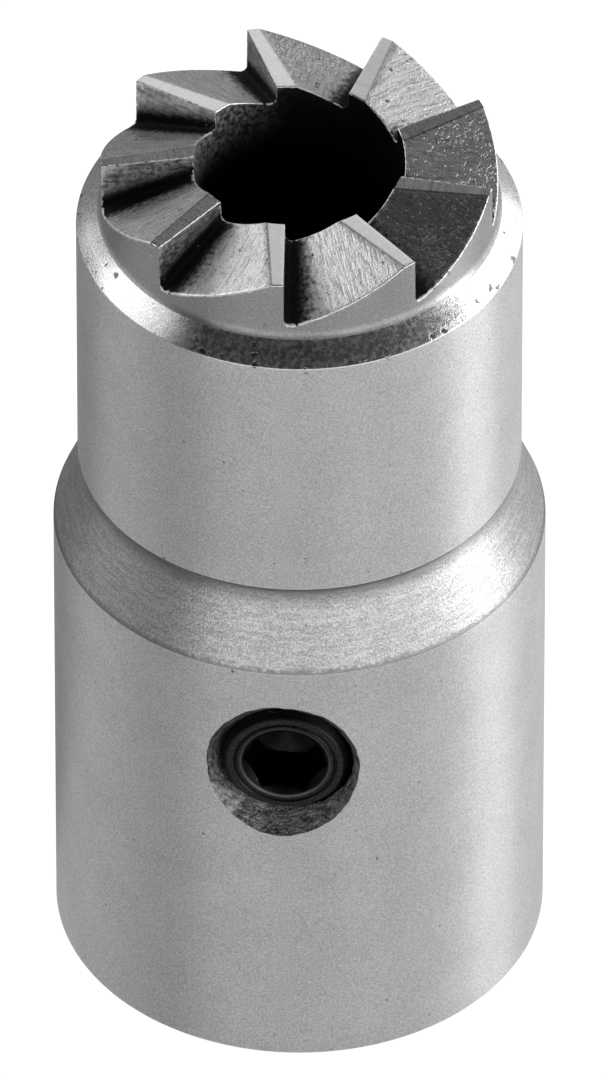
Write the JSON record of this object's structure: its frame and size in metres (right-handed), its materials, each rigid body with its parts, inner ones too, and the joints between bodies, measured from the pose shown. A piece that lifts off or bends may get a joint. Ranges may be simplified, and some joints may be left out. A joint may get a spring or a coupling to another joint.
{
  "type": "valve seat cutter",
  "caption": "Turned steel valve seat cutter: face teeth round a through bore at one end, and a socket set screw in the side to clamp it on a spindle.",
  "frame": {"origin": "centre of the flat base, on the bore's axis", "axes": "+Z along the bore towards the cutting teeth; -Y towards the set screw"},
  "size_m": [0.02, 0.02, 0.04],
  "materials": {
    "cutter_steel": "fine-ground, satin",
    "black_oxide_steel": "black oxide, satin"
  },
  "bodies": {
    "cutter": {"cutter_body": "cutter_steel"},
    "screw": {"set_screw": "black_oxide_steel"}
  },
  "joints": [
    {"name": "set_screw_travel", "type": "slide", "parent": "cutter", "child": "screw", "axis": [0, 1, 0], "range_m": [-0.003, 0.001]}
  ]
}
